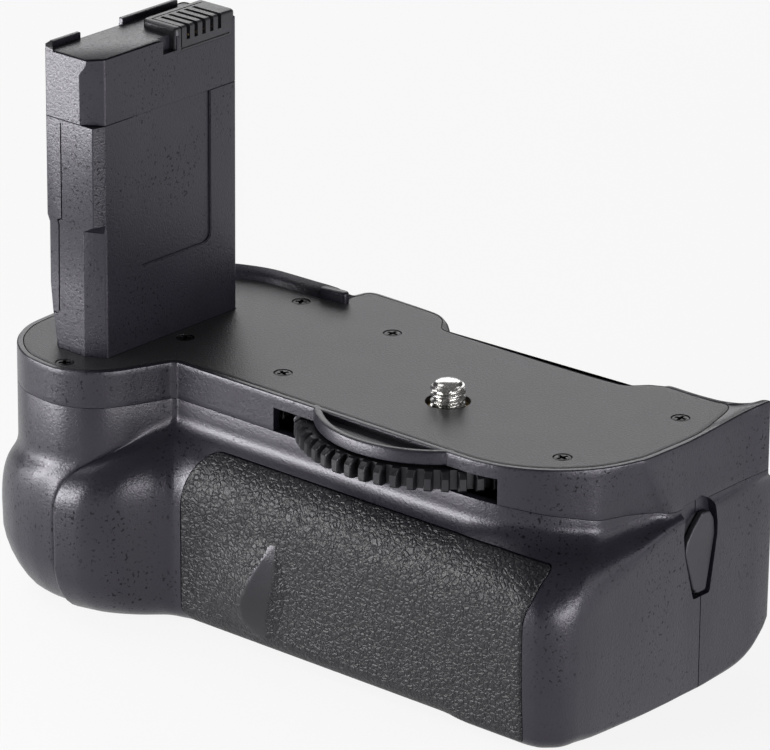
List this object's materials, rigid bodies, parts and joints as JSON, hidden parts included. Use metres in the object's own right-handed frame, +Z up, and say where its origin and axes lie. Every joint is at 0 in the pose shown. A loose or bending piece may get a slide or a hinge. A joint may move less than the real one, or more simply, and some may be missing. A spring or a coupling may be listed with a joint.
{
  "type": "camera battery grip",
  "caption": "Vertical battery grip that screws under a camera: moulded body with grip rubber, battery-shaped plug, thumb-wheel screw, rear battery door, release button and covered cable jack.",
  "frame": {"origin": "on the camera screw's axis, level with the seat that the camera stands on", "axes": "+X to the cable end, +Y to the rear with the battery door, +Z up along the camera screw"},
  "size_m": [0.1338, 0.0753, 0.1045],
  "materials": {
    "moulded": "fine satin grain",
    "plate": "matte",
    "rubber": "leather grain",
    "satin": "satin",
    "nickel": "nickel plated",
    "brass": "plain",
    "dark_screw": "blackened",
    "cage": "matte",
    "board": "lacquered"
  },
  "bodies": {
    "housing": {"top_cover": "moulded", "top_plate": "plate", "front_shell": "moulded", "rear_shell": "moulded", "grip_rubber": "rubber", "stud_bush": "brass", "wheel_retainer": "nickel", "retainer_screws": "nickel", "plug_case": "moulded", "plug_cap": "moulded", "contact_block": "satin", "plug_contacts": "brass", "plate_screws": "dark_screw", "cable_jack": "satin", "shutter_collar": "satin", "shutter_switch": "satin", "circuit_board": "board", "battery_cage": "cage", "bay_contacts": "brass", "door_hinge_pin": "nickel", "tripod_bush": "brass", "base_screws": "dark_screw"},
    "screw": {"thumb_wheel": "satin", "camera_screw": "nickel"},
    "button": {"shutter_button": "satin"},
    "lock": {"shutter_lock": "moulded"},
    "door": {"battery_door": "satin"},
    "latch": {"door_latch": "moulded"},
    "flap": {"port_cover": "rubber"}
  },
  "joints": [
    {"name": "wheel_spin", "type": "hinge", "parent": "housing", "child": "screw", "pos_m": [0, 0, 0], "axis": [0, 0, 1], "continuous": true},
    {"name": "release_press", "type": "slide", "parent": "housing", "child": "button", "axis": [1, 0, 0], "range_m": [0, 0.0012], "stiffness_N_per_m": 400},
    {"name": "release_lock", "type": "hinge", "parent": "housing", "child": "lock", "pos_m": [-0.085, -0.008, -0.031], "axis": [1, 0, 0], "range_deg": [0, 40]},
    {"name": "door_swing", "type": "hinge", "parent": "housing", "child": "door", "pos_m": [-0.05045, 0.0345, -0.028], "axis": [0, 0, 1], "range_deg": [0, 95]},
    {"name": "latch_slide", "type": "slide", "parent": "door", "child": "latch", "axis": [1, 0, 0], "range_m": [0, 0.0026]},
    {"name": "port_cover_swing", "type": "hinge", "parent": "housing", "child": "flap", "pos_m": [0.0439, 0.0165, -0.0286], "axis": [0, 1, 0], "range_deg": [0, 110]}
  ]
}
